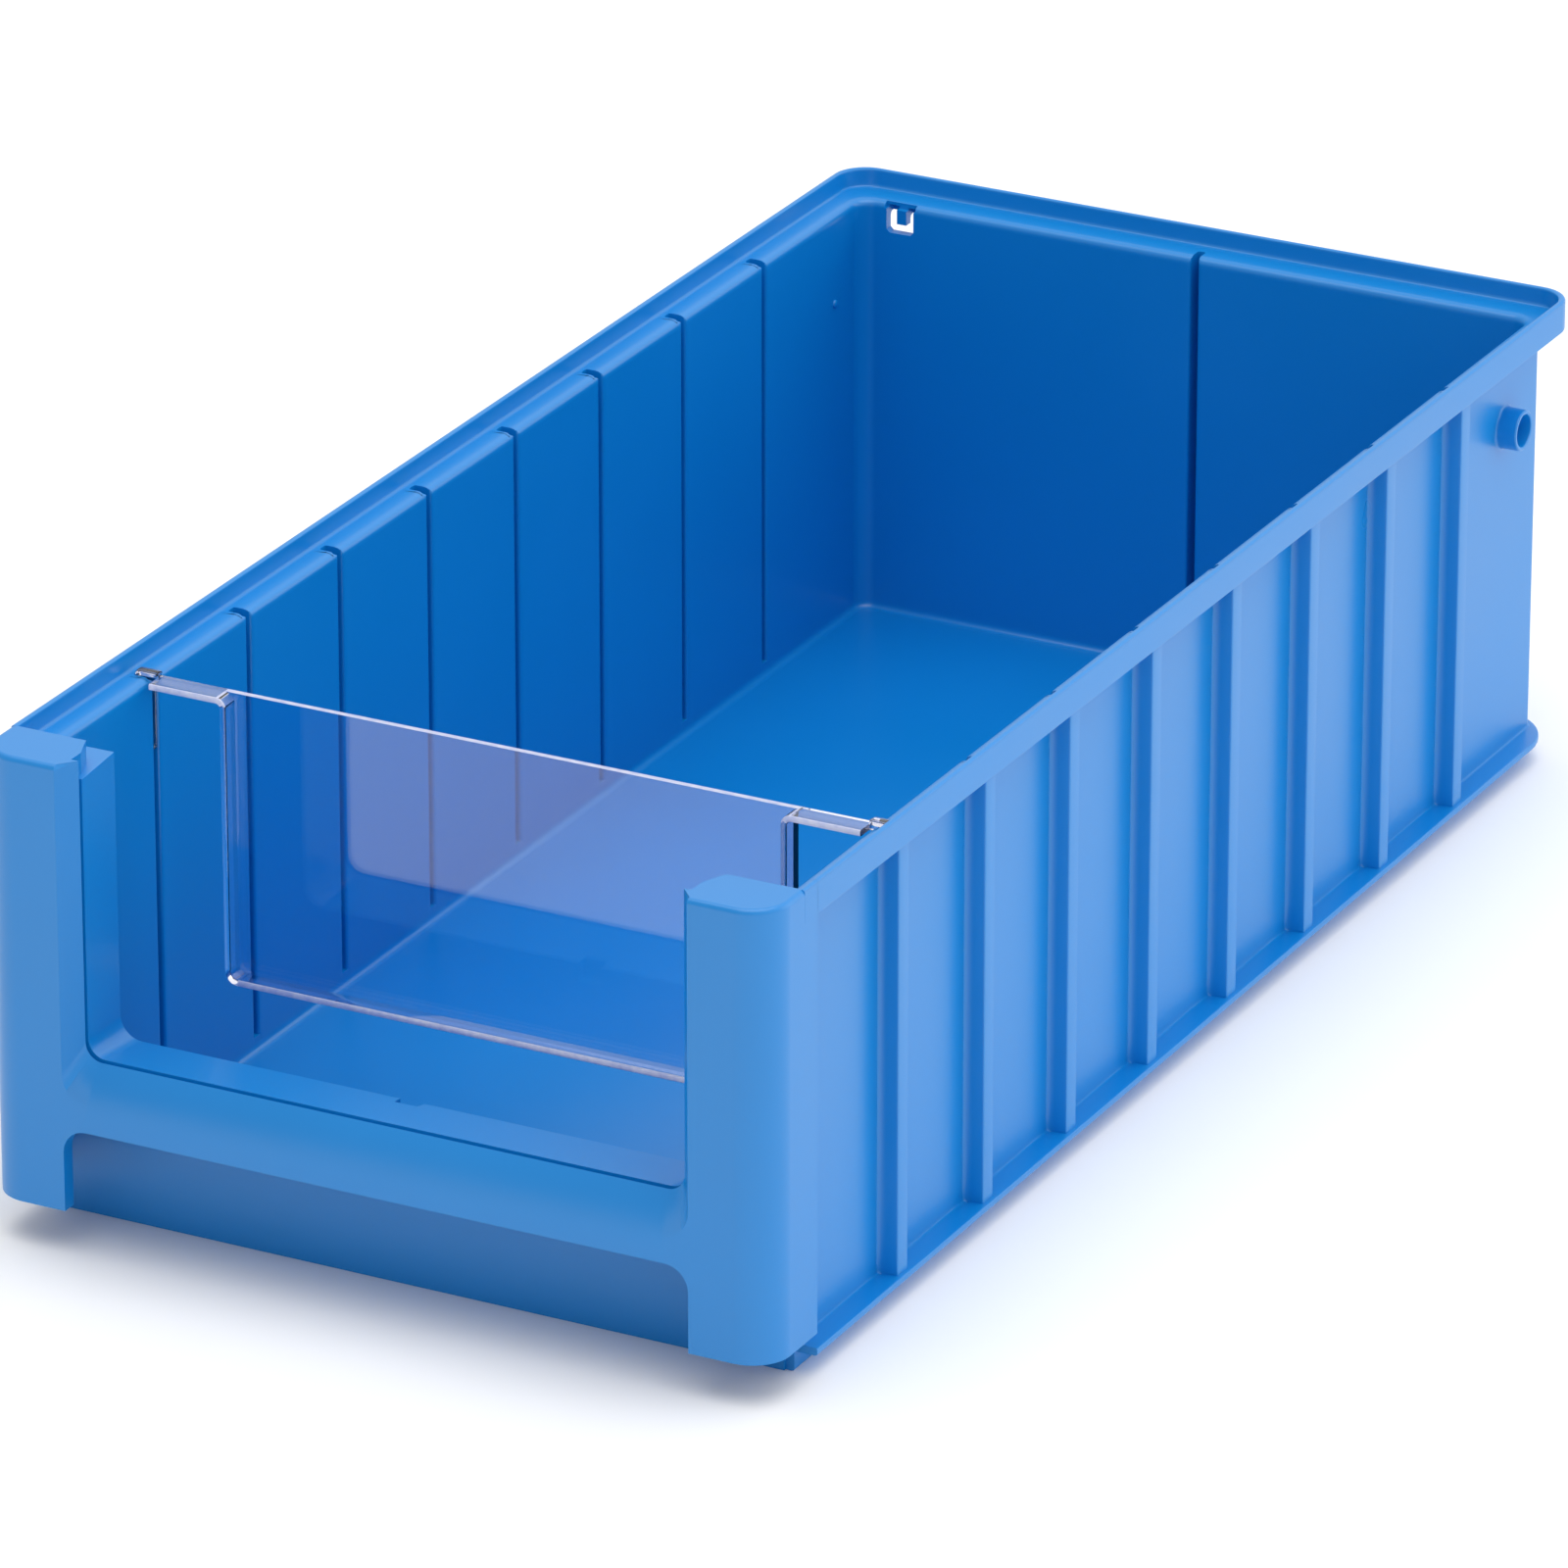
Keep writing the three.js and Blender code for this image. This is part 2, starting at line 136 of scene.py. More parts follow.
def finish_edges(piece, wall=0.0, radius=0.0, angle=28.0):
    """Gives a skin its wall, rounds edges bent by more than the angle, and evens its shading."""
    if wall:
        solid = piece.modifiers.new("wall", "SOLIDIFY")
        solid.thickness = wall * MM
        solid.offset = -1.0
        solid.use_quality_normals = True
    if radius:
        edge = piece.modifiers.new("edge_radius", "BEVEL")
        edge.width = radius * MM
        edge.segments = 3
        edge.limit_method = "ANGLE"
        edge.angle_limit = math.radians(angle)
        edge.use_clamp_overlap = True
    even = piece.modifiers.new("even_shading", "WEIGHTED_NORMAL")
    even.keep_sharp = True
    even.weight = 80
    return piece


def arc(cx, cy, r, a0, a1, n=8):
    """n + 1 points of a circle from angle a0 to a1 in degrees."""
    a = np.radians(np.linspace(a0, a1, n + 1))
    return np.stack([cx + r * np.cos(a), cy + r * np.sin(a)], -1)


# ---------- moulded shell: walls, ribs, slots, rim and foot flange ----------
SLOT_COUNT, SLOT_PITCH, FIRST_SLOT = 8, 50.0, -173.0
SLOTS = np.arange(SLOT_COUNT) * SLOT_PITCH + FIRST_SLOT
# inner and outer faces of the side walls and of the rear wall
WALL_X, WALL_REAR = 107.5, 238.2
OUTER_X, OUTER_REAR = 110.3, 241.0
# where the carried section begins at the front, and where the rear corner begins
FRONT_END, CORNER_FROM = -224.1, 225.0
CORNER_POINTS = 13
# which feature bends a row of the section
PLAIN, AT_SLOT, AT_RIB = 0, 1, 2
# rows above this height keep the ribs' stations; the slots' front edges flare from the next one up
RIM_ROWS_FROM, FLARE_FROM = 130.0, 133.2
FLARE_REACH, FLARE_WIDENS = 2.5, 1.9

# offset along the wall from a slot's middle, and depth of the slot into the wall, front half
SLOT_CUT = rows(
    (-6.0, 0.0), (-3.0, 0.0), (-1.9, 0.0), (-1.55, 0.12), (-1.3, 0.45),
    (-1.2, 0.9), (-1.2, 4.9), (-0.9, 5.35), (-0.4, 5.4),
)
# offset along the wall from a rib's middle, and height of the rib off the wall, front half
RIB_RISE = rows(
    (-5.0, 0.0), (-4.45, 0.12), (-4.0, 0.45), (-3.7, 1.0), (-3.5, 1.8),
    (-3.35, 2.6), (-3.0, 4.95), (-2.85, 5.3), (-2.45, 5.5),
)

# wall section, from the floor's edge up the inside, over the rim, down the outside and back:
# half width, rear face, corner radius, height, and the feature that bends the row (PLAIN, AT_SLOT or AT_RIB)
SECTION = rows(
    (105.5, 236.2, 3.2, 5.0, 0), (106.4, 237.1, 4.1, 5.15, 0), (107.1, 237.8, 4.8, 5.6, 0),
    (107.45, 238.15, 5.1, 6.3, 0), (107.5, 238.2, 5.2, 7.2, 0), (107.5, 238.2, 5.2, 8.99, 0),
    (107.5, 238.2, 5.2, 9.0, 1), (107.5, 238.2, 5.2, 40.0, 1), (107.5, 238.2, 5.2, 131.5, 1),
    (107.5, 238.2, 5.2, 132.4, 1), (107.7, 238.4, 5.4, 133.2, 1),
    (108.2, 238.9, 5.8, 133.8, 1), (109.0, 239.7, 6.4, 134.15, 1), (110.0, 240.8, 6.9, 134.3, 1),
    (113.7, 246.6, 8.4, 134.3, 0), (114.5, 247.5, 8.8, 134.5, 0), (114.9, 247.9, 9.0, 134.9, 0),
    (115.0, 248.0, 9.0, 135.6, 0), (115.1, 248.1, 9.0, 139.2, 0),
    (115.3, 248.3, 9.1, 139.75, 0), (115.7, 248.7, 9.3, 140.0, 0), (116.3, 249.3, 9.7, 140.0, 0),
    (116.75, 249.75, 9.9, 139.8, 0), (117.0, 250.0, 10.0, 139.3, 0), (117.0, 250.0, 10.0, 131.1, 0),
    (116.9, 249.9, 10.0, 130.75, 2), (116.6, 249.6, 9.9, 130.6, 2),
    (111.4, 242.2, 4.1, 130.6, 2), (110.6, 241.3, 3.5, 130.3, 2), (110.3, 241.0, 3.3, 129.4, 2),
    (110.3, 241.0, 3.3, 60.0, 2), (110.3, 241.0, 3.3, 9.2, 2), (110.55, 241.25, 3.6, 8.4, 2),
    (111.3, 241.9, 5.5, 8.0, 2), (116.4, 246.5, 19.4, 8.0, 2), (116.85, 246.85, 19.8, 7.8, 0),
    (117.0, 247.0, 20.0, 7.4, 0), (117.0, 247.0, 20.0, 6.4, 0), (116.8, 246.8, 19.8, 6.0, 0),
    (116.3, 246.3, 19.3, 5.8, 0), (110.8, 241.5, 3.8, 5.8, 0), (110.3, 241.0, 3.3, 5.3, 0),
    (110.3, 241.0, 3.3, 0.7, 0), (110.1, 240.8, 3.1, 0.2, 0), (109.6, 240.3, 2.6, 0.0, 0),
    (108.2, 238.9, 4.2, 0.0, 0), (107.7, 238.4, 5.0, 0.2, 0), (107.5, 238.2, 5.2, 0.7, 0),
    (107.5, 238.2, 5.2, 1.9, 0), (107.2, 237.9, 5.0, 2.4, 0), (106.5, 237.2, 4.4, 2.6, 0),
    (105.5, 236.2, 3.2, 2.6, 0),
)


def both_halves(front):
    """Mirrors the front half of a slot or rib table about its middle."""
    return np.concatenate([front, front[::-1] * (-1, 1)])


def side_stations():
    """Stations along a side wall, from the front end to where the rear corner begins."""
    cut, rise = both_halves(SLOT_CUT), both_halves(RIB_RISE)
    inner_y = np.concatenate([[FRONT_END], (SLOTS[:, None] + cut[:, 0]).ravel(), [CORNER_FROM]])
    outer_y = np.concatenate([[FRONT_END], (SLOTS[:, None] + rise[:, 0]).ravel(), [CORNER_FROM]])
    depth = np.concatenate([[0], np.tile(cut[:, 1], len(SLOTS)), [0]])
    height = np.concatenate([[0], np.tile(rise[:, 1], len(SLOTS)), [0]])
    return inner_y, outer_y, depth, height


def shell_grid(groove_x, groove_rise):
    """The wall section carried along the U of right side, rear and left side.

    At every station the section's rows lie on a rounded rectangle of their own half width, rear face
    and corner radius. Inner rows move out to the bottom of a slot where that is deeper than the row,
    and outer rows move out to the face of a rib where that stands prouder.
    """
    half, rear, radius, z, kind = (SECTION[:, k][:, None] for k in range(5))
    inner_y, outer_y, depth, height = side_stations()
    y = np.where((z > RIM_ROWS_FROM) | (kind == AT_RIB), outer_y, inner_y)
    y = np.where(kind == AT_SLOT, inner_y, y)
    flare = (kind == AT_SLOT) & (z > FLARE_FROM)
    nearest = SLOTS[np.abs(inner_y[:, None] - SLOTS).argmin(1)]
    drift = inner_y - nearest
    y = np.where(flare & (drift < 0) & (drift > -FLARE_REACH), nearest + drift * FLARE_WIDENS, y)
    x = half + 0 * y
    x = np.where(kind == AT_SLOT, np.maximum(x, WALL_X + depth), x)
    x = np.where(kind == AT_RIB, np.maximum(x, OUTER_X + height), x)
    side = np.stack([x, y, z + 0 * y], -1)

    turn = np.radians(np.linspace(0, 90, CORNER_POINTS))
    corner_x = half - radius + radius * np.cos(turn)
    corner_y = rear - radius + radius * np.sin(turn)
    corner = np.stack([corner_x, corner_y, z + 0 * corner_x], -1)

    cut, rise = both_halves(SLOT_CUT), both_halves(RIB_RISE)
    plain = np.array([95.0, 60.0])
    across_in = np.concatenate([plain, groove_x - cut[:, 0], -plain[::-1]])
    across_out = np.concatenate([plain, -rise[:, 0], -plain[::-1]])
    groove = np.concatenate([[0, 0], cut[:, 1], [0, 0]])
    rib = np.concatenate([[0, 0], rise[:, 1] * groove_rise, [0, 0]])
    rear_x = np.where(kind == AT_RIB, across_out, across_in)
    rear_y = rear + 0 * rear_x
    rear_y = np.where(kind == AT_SLOT, np.maximum(rear_y, WALL_REAR + groove), rear_y)
    rear_y = np.where(kind == AT_RIB, np.maximum(rear_y, OUTER_REAR + rib), rear_y)
    back = np.stack([rear_x, rear_y, z + 0 * rear_x], -1)

    mirror = np.array([-1, 1, 1])
    return np.concatenate([
        side, corner, back, (corner * mirror)[:, ::-1], (side * mirror)[:, ::-1],
    ], 1)


def shell_mesh(size):
    """Closes the carried section along its length and caps both front ends."""
    skin = Skin()
    points = shell_grid(size.groove_x / MM, size.rear_rib)
    skin.grid(np.concatenate([points, points[:1]]))
    skin.outline(points[:, 0])
    skin.outline(points[:, -1], flip=True)
    return skin.mesh("moulded_shell")


def cut_through(piece, outline, y0, y1):
    """Takes a prism, drawn as an outline in X and Z, out of a piece from y0 to y1, for good."""
    outline = np.asarray(outline, float)
    ring = [np.column_stack([outline[:, 0], np.full(len(outline), y), outline[:, 1]])
            for y in (y0, y1)]
    skin = Skin()
    skin.grid(np.stack(ring), wrap_v=True)
    skin.outline(ring[0])
    skin.outline(ring[1], flip=True)
    cutter = bpy.data.objects.new("cutter", skin.mesh("cutter"))
    bpy.context.scene.collection.objects.link(cutter)
    cut = piece.modifiers.new("cut", "BOOLEAN")
    cut.operation, cut.solver, cut.object = "DIFFERENCE", "EXACT", cutter
    bpy.context.view_layer.update()
    graph = bpy.context.evaluated_depsgraph_get()
    result = bpy.data.meshes.new_from_object(piece.evaluated_get(graph))
    piece.modifiers.clear()
    old, piece.data = piece.data, result
    bpy.data.meshes.remove(old)
    bpy.data.objects.remove(cutter)


# the U of clear space round the springy stop tongue, in X and Z, and the ledge opened above it
U_CUT = rows(
    (-99.0, 133.2), (-99.0, 126.0), (-98.0, 125.0), (-91.2, 125.0), (-90.2, 126.0), (-90.2, 133.0),
    (-92.5, 133.0), (-92.5, 128.0), (-95.6, 128.0), (-95.6, 133.2),
)
LEDGE_CUT = rows((-99.6, 132.4), (-89.6, 132.4), (-89.6, 136.0), (-99.6, 136.0))
CUT_FROM, U_CUT_TO, LEDGE_CUT_TO = 230.0, 243.0, 239.9


# ---------- floor ----------
FLOOR_HALF_WIDTH, FLOOR_HALF_DEPTH, FLOOR_MIDDLE = 106.2, 230.0, 7.4
FLOOR_TOP, FLOOR_UNDERSIDE = 5.0, 2.6


def floor_mesh(size):
    """A slab whose top sinks in the middle.

    With u and v from -1 to 1 across and along, the top is the floor's height less the sink depth
    times one minus u to the fourth times one minus v to the fourth.
    """
    u = np.linspace(-1, 1, 33)
    v = np.linspace(-1, 1, 49)
    uu, vv = np.meshgrid(u, v, indexing="ij")
    x, y = uu * FLOOR_HALF_WIDTH, FLOOR_MIDDLE + vv * FLOOR_HALF_DEPTH
    top = FLOOR_TOP - size.floor_sink / MM * (1 - uu ** 4) * (1 - vv ** 4)
    low = np.full_like(top, FLOOR_UNDERSIDE)
    skin = Skin()
    skin.grid(np.stack([x, y, top], -1))
    skin.grid(np.stack([x, y, low], -1))
    for pick in (np.s_[0, :], np.s_[-1, :], np.s_[:, 0], np.s_[:, -1]):
        edge = np.stack([x[pick], y[pick]], -1)
        skin.grid(np.stack([np.column_stack([edge, top[pick]]), np.column_stack([edge, low[pick]])]))
    return skin.mesh("moulded_floor")


# ---------- front frame: two posts and the pull bar ----------
# depths: front face, foot of the bevel, back of the groove, back of a cap, back of the recess return
FRONT, BEVEL_FOOT, GROOVE_BACK, CAP_BACK, RECESS_BACK = -250.0, -244.0, -239.0, -231.0, -245.5
# heights: underside of the frame, top of the wing behind a post, top of the caps
FRAME_LOW, WING_TOP, CAP_TOP = 12.4, 131.0, 140.0
# half width, sill height and corner radius of the opening at its face, its bevel and its groove
FACE_U, BEVEL_U, GROOVE_U = (93.0, 44.1, 8.0), (89.0, 54.8, 5.0), (91.3, 52.5, 6.6)
RECESS_HALF, RECESS_TOP, RECESS_R = 93.0, 36.5, 7.0
# a post's outer corner, and its flat side, which keeps just inside the rim's face
CORNER_X, CORNER_Y, CORNER_R, POST_SIDE = 106.0, -239.0, 11.0, 116.98
# the wing's back reaches into the side wall, so that no light passes between them
WING_INTO_WALL = 108.5
# how far the cap's rounded edge is drawn in, and its height there
CAP_ROUND = rows((0.0, 138.4), (0.15, 139.1), (0.5, 139.65), (1.0, 139.93), (1.6, 140.0))
# inner edge of a cap in plan, from its back to the bevel
CAP_INNER = [(94.3, -231.2), (91.3, GROOVE_BACK), (91.3, BEVEL_FOOT), (89.0, BEVEL_FOOT)]
CAP_STEP = 6.5


def in_depth(line, y):
    """Puts a line drawn in X and Z at one depth."""
    return np.column_stack([line[:, 0], np.full(len(line), y), line[:, 1]])


def opening_line(half, bottom, radius, top, y):
    """The U of the picking opening at depth y, from the right top down, across and up again."""
    right = arc(half - radius, bottom + radius, radius, 0, -90)
    line = np.concatenate([[(half, top)], right, right[::-1] * (-1, 1), [(-half, top)]])
    return in_depth(line, y)


def recess_line(y):
    """The arch of the grip recess at depth y, from the right foot up, across and down again."""
    right = arc(RECESS_HALF - RECESS_R, RECESS_TOP - RECESS_R, RECESS_R, 0, 90)
    feet = [[(RECESS_HALF, FRAME_LOW)], [(-RECESS_HALF, FRAME_LOW)]]
    return in_depth(np.concatenate([feet[0], right, right[::-1] * (-1, 1), feet[1]]), y)


def corner_plan(inset=0.0):
    """Plan of a post from the opening's front edge round the outer corner to the step at its back."""
    turn = arc(CORNER_X, CORNER_Y, CORNER_R - inset, -90, 0, 14)
    side = POST_SIDE - inset
    turn[:, 0] = np.minimum(turn[:, 0], side)
    return np.concatenate([[(FACE_U[0], FRONT + inset)], turn, [(side, CAP_BACK)]])


def at_height(plan, z, side=1):
    """Lifts plan points to a height, mirrored for the left side."""
    plan = np.asarray(plan, float)
    return np.column_stack([side * plan[:, 0], plan[:, 1], z + 0 * plan[:, 0]])


def frame_mesh():
    """Front face, bevelled opening, groove, recess return, post corners and rounded post caps.

    The opening is four like outlines joined in depth. Each post is its plan carried up to where the
    cap's rounding begins, and the cap is the same plan drawn in as it rises.
    """
    skin = Skin()
    heights = (FRAME_LOW, WING_TOP, CAP_ROUND[0, 1])
    face_line = opening_line(*FACE_U, heights[-1], FRONT)
    skin.grid(np.stack([
        face_line, opening_line(*BEVEL_U, CAP_TOP, BEVEL_FOOT),
        opening_line(*GROOVE_U, CAP_TOP, BEVEL_FOOT), opening_line(*GROOVE_U, CAP_TOP, GROOVE_BACK),
    ]))
    recess = recess_line(FRONT)
    outer_right = at_height([(CORNER_X, FRONT)] * len(heights), heights)
    outer_left = outer_right[::-1] * (-1, 1, 1)
    skin.outline(np.concatenate([outer_right, face_line, outer_left, recess[::-1]]))
    skin.grid(np.stack([recess, recess_line(RECESS_BACK)]))
    for side in (1, -1):
        skin.grid(np.stack([at_height(corner_plan()[1:], z, side) for z in heights]))
        caps = np.stack([at_height(corner_plan(inset), z, side) for inset, z in CAP_ROUND])
        skin.grid(caps)
        skin.outline(np.concatenate([caps[-1], at_height(CAP_INNER, CAP_TOP, side)]))
        skin.outline(np.concatenate([caps[:, 0], at_height(CAP_INNER[-1:], CAP_TOP, side)]))
        back = at_height([(caps[-1, -1, 0] * side, CAP_BACK), *CAP_INNER[:2]], CAP_TOP, side)
        skin.grid(np.stack([back, back - (0, 0, CAP_STEP)]))
        wing_plan = [(POST_SIDE, CAP_BACK), (POST_SIDE, FRONT_END), (WING_INTO_WALL, FRONT_END)]
        wing = np.stack([at_height(wing_plan, z, side) for z in heights])
        skin.grid(wing[:, :2])
        skin.grid(wing[:2, 1:])
    return skin.mesh("front_frame")


# the rim's ends run a little into both neighbours, and out over the ledge
RIM_END_DEPTHS = (-231.3, -224.0)
RIM_UNDER, RIM_INSIDE = 130.6, 113.0
RIM_END_OVER, RIM_END_UNDER = [(107.6, 134.2)], [(117.0, 130.8), (113.7, 130.8), (107.6, 131.9)]


def rim_end_mesh():
    """The rim's section carried straight on from the shell's front end to both post caps."""
    skin = Skin()
    height, half, kind = SECTION[:, 3], SECTION[:, 0], SECTION[:, 4]
    rim = SECTION[(height >= RIM_UNDER) & (half > RIM_INSIDE) & (kind < AT_RIB)][:, (0, 3)]
    rim = np.concatenate([RIM_END_OVER, rim, RIM_END_UNDER])
    for side in (1, -1):
        ends = [in_depth(rim * (side, 1), y) for y in RIM_END_DEPTHS]
        skin.grid(np.stack(ends), wrap_v=True)
        skin.outline(ends[0])
        skin.outline(ends[1], flip=True)
    return skin.mesh("rim_ends")


# ---------- front wall and the lip that lines the opening ----------
NOTCH_FROM, NOTCH_TO, NOTCH_FRONT, NOTCH_BOTTOM = -6.4, 0.4, -225.8, 47.0
# half width, sill height and corner radius of the opening at the wall and at the lip's front
WALL_U, LIP_U = (91.0, 52.3, 6.5), (89.2, 54.9, 5.2)
WALL_FACE, LIP_FRONT = -222.6, -242.2
LINER_HALF, SHELF_TOP = 107.8, 134.1
LINER_WALL = 2.3
# stations along the lip, as shares of the way from the wall to its front
LIP_SHARES = (0.0, 0.03, 0.10, 0.165, 0.55, 0.985, 1.0)


def liner_line(outline, y):
    """The opening's outline with four more stations on its sill, and which of them are the notch."""
    line = opening_line(*outline, SHELF_TOP, y)
    middle = len(line) // 2
    sill = [(x, y, outline[1]) for x in (NOTCH_TO + 0.3, NOTCH_TO, NOTCH_FROM, NOTCH_FROM - 0.1)]
    return np.insert(line, middle, sill, axis=0), slice(middle + 1, middle + 3)


def liner_mesh():
    """Lined opening: wall face, tapered lip and the shelf that closes each post behind its cap.

    The lip is the picking opening's outline carried from the front wall to just behind the posts'
    groove, growing narrower by a straight taper, with a notch sunk into its sill at the wall.
    """
    skin = Skin()
    back, notch = liner_line(WALL_U, WALL_FACE)
    lip, notch = liner_line(LIP_U, LIP_FRONT)
    shares = np.array(LIP_SHARES)[:, None, None]
    lines = back * (1 - shares) + lip * shares
    lines[:2, notch, 2] = NOTCH_BOTTOM
    lines[1:3, notch, 1] = NOTCH_FRONT
    skin.grid(lines)
    border = [(-LINER_HALF, SHELF_TOP), (-LINER_HALF, 0.0), (LINER_HALF, 0.0), (LINER_HALF, SHELF_TOP)]
    skin.outline(np.concatenate([lines[0], in_depth(rows(*border), WALL_FACE)]))
    for side, end in ((1, 0), (-1, -1)):
        outer = at_height([(LINER_HALF, LIP_FRONT), (LINER_HALF, WALL_FACE)], SHELF_TOP, side)
        skin.outline(np.concatenate([lines[:, end], outer]))
    return skin.mesh("front_liner")


# ---------- bosses ----------
TURN_POINTS = 48


def turned(profile, centre_y, centre_z, side=1):
    """A profile of radius and X turned about an axis along X through the given Y and Z."""
    profile = np.asarray(profile, float)
    a = np.linspace(0, 2 * np.pi, TURN_POINTS, endpoint=False)
    r, x = profile[:, :1], profile[:, 1:]
    return np.stack([side * (x + 0 * a), centre_y + r * np.cos(a), centre_z + r * np.sin(a)], -1)


# radius and X of the profiles, from the buried middle out and back to the bottom of the bore
BOSS_PROFILE = [
    (0.0, 109.6), (6.9, 109.6), (6.9, 110.28), (6.5, 110.38), (6.2, 110.6), (6.06, 111.0),
    (6.02, 112.2), (6.0, 116.0), (5.9, 116.4), (5.65, 116.6), (5.1, 116.6), (4.85, 116.45),
    (4.72, 116.1), (4.6, 112.4), (4.4, 112.1), (4.0, 112.0), (0.0, 112.0),
]
BUTTON_PROFILE = [
    (0.0, -106.7), (0.7, -106.75), (1.15, -107.0), (1.3, -107.4), (1.3, -108.4), (0.0, -108.4),
]
# Y and Z of the turning axes
BOSS_AT, BUTTON_AT = (216.0, 109.0), (221.6, 106.5)


def turned_mesh(name, points):
    """One turned skin, whose first and last rows shrink to closed poles."""
    skin = Skin()
    skin.grid(points, wrap_v=True)
    return skin.mesh(name)


# ---------- clear window ----------
PANE = 1.8
PANE_BACK, PANE_FRONT, RIBBON_FRONT = -172.1, -173.9, -179.1
ARM_END, ARM_TOP, ARM_UNDER = 106.0, 134.3, 132.5
PANE_SHOULDER = 85.7
SHOULDER, SHOULDER_R = (PANE_SHOULDER, 131.3), 1.2
FOOT, FOOT_R = (80.5, 55.6), 4.0
# share of the ribbon's thickness and distance behind its front, round its front edge
RIBBON_EDGE = ((0.0, 0.5), (0.08, 0.15), (0.3, 0.0), (0.7, 0.0), (0.92, 0.15), (1.0, 0.5))
# the tab that drops into a slot, in X and Z, and how far its edges are drawn in
TAB = rows((105.9, 132.6), (107.8, 132.6), (107.8, 113.2), (112.4, 113.2), (112.4, 135.2), (105.9, 135.2))
TAB_CLEARANCE, TAB_SOFT = 0.05, 0.25
# the domed head over the tab: half depth, height of its flat side, how flat the dome is, its middle,
# and X and size of its sections
HEAD_R, HEAD_BASE, HEAD_FLAT, HEAD_MIDDLE = 2.4, 134.6, 0.45, 134.4
HEAD_SECTIONS = ((106.4, 0.8), (106.8, 1.0), (112.1, 1.0), (112.5, 0.8))


def ribbon_line(share, y):
    """The hanging ribbon at depth y: 0 is its outer face and 1 its inner face, arm end to arm end."""
    t = PANE * share
    shoulder = arc(*SHOULDER, SHOULDER_R + t, 90, 180, 6)
    foot = arc(*FOOT, FOOT_R - t, 0, -90)
    right = np.concatenate([[(ARM_END, ARM_UNDER + t)], shoulder, foot])
    return in_depth(np.concatenate([right, right[::-1] * (-1, 1)]), y)


def prism(skin, outline, y0, y1):
    """Closed prism of an outline in X and Z between two depths, with its edges drawn in a little."""
    middle = outline.mean(0)
    inset = middle + (outline - middle) * (1 - TAB_SOFT / np.abs(outline - middle).max(0))
    soft = TAB_SOFT * np.sign(y1 - y0)
    rings = [in_depth(ring, y)
             for ring, y in ((inset, y0), (outline, y0 + soft), (outline, y1 - soft), (inset, y1))]
    skin.grid(np.stack(rings), wrap_v=True)
    skin.outline(rings[0])
    skin.outline(rings[-1], flip=True)


def window_mesh():
    """Pane, the ribbon that runs forward from its edge and out along both arms, and the slot tabs.

    The ribbon is one outline carried forward from the pane's back, round the ribbon's front edge and
    back to the pane's front. The tabs are prisms, and each head is a half disc carried along X.
    """
    skin = Skin()
    edge = [(share, RIBBON_FRONT + behind) for share, behind in RIBBON_EDGE]
    section = ((0.0, PANE_BACK), *edge, (1.0, PANE_FRONT))
    lines = np.stack([ribbon_line(share, y) for share, y in section])
    skin.grid(lines)
    skin.outline(lines[-1, 1:-1])
    top = np.array([(x, PANE_FRONT, ARM_TOP) for x in (ARM_END, PANE_SHOULDER, -PANE_SHOULDER, -ARM_END)])
    top_back = top + (0, PANE_BACK - PANE_FRONT, 0)
    skin.grid(np.stack([top, top_back]))
    skin.outline(np.concatenate([lines[0], top_back[::-1]]))
    for end in (0, -1):
        skin.outline(np.concatenate([lines[:, end], top_back[[end]]]))
    for side in (1, -1):
        prism(skin, TAB * (side, 1), PANE_FRONT + TAB_CLEARANCE, PANE_BACK - TAB_CLEARANCE)
        head = arc(0.0, HEAD_BASE, HEAD_R, 0, 180) * (1, HEAD_FLAT) + (0, HEAD_BASE * (1 - HEAD_FLAT))
        rings = [np.column_stack([np.full(len(head), side * x), head[:, 0] * k + FIRST_SLOT,
                                  HEAD_MIDDLE + (head[:, 1] - HEAD_MIDDLE) * k])
                 for x, k in HEAD_SECTIONS]
        skin.grid(np.stack(rings), wrap_v=True)
        skin.outline(rings[0])
        skin.outline(rings[-1], flip=True)
    return skin.mesh("clear_window")


# ---------- materials ----------
# noise cells in a metre: a mould grain of 0.45 mm, melt flow of 70 and 110 mm, a 2.5 mm noise in the
# painted highlight on the window's edges, and paper cloud of 330 mm; grain is drawn coarser than real, and
# the edge noise coarse, so that they show
GRAIN_CELLS, MELT_CELLS, PANE_CELLS, EDGE_NOISE_CELLS, CLOUD_CELLS = 2200.0, 14.0, 9.0, 400.0, 3.0
GLOSS_LOWER, GLOSS_HIGHER = 0.06, 0.08


def linear(hex_colour):
    """sRGB hex to linear RGBA: a straight line near black, and a power curve above it."""
    c = np.array([int(hex_colour[k:k + 2], 16) for k in (1, 3, 5)]) / 255
    c = np.where(c <= 0.04045, c / 12.92, ((c + 0.055) / 1.055) ** 2.4)
    return (*c.tolist(), 1.0)


def node(tree, kind, settings=None, links=None):
    """Adds one node, sets its sockets or properties, and links sockets given as outputs."""
    made = tree.nodes.new(kind)
    for key, value in (settings or {}).items():
        if key in made.inputs.keys():
            made.inputs[key].default_value = value
        else:
            setattr(made, key, value)
    for key, source in (links or {}).items():
        tree.links.new(source, made.inputs[key])
    return made


def blank_material(name):
    """An empty material and its node tree."""
    material = bpy.data.materials.new(name)
    material.use_nodes = True
    material.node_tree.nodes.clear()
    return material, material.node_tree


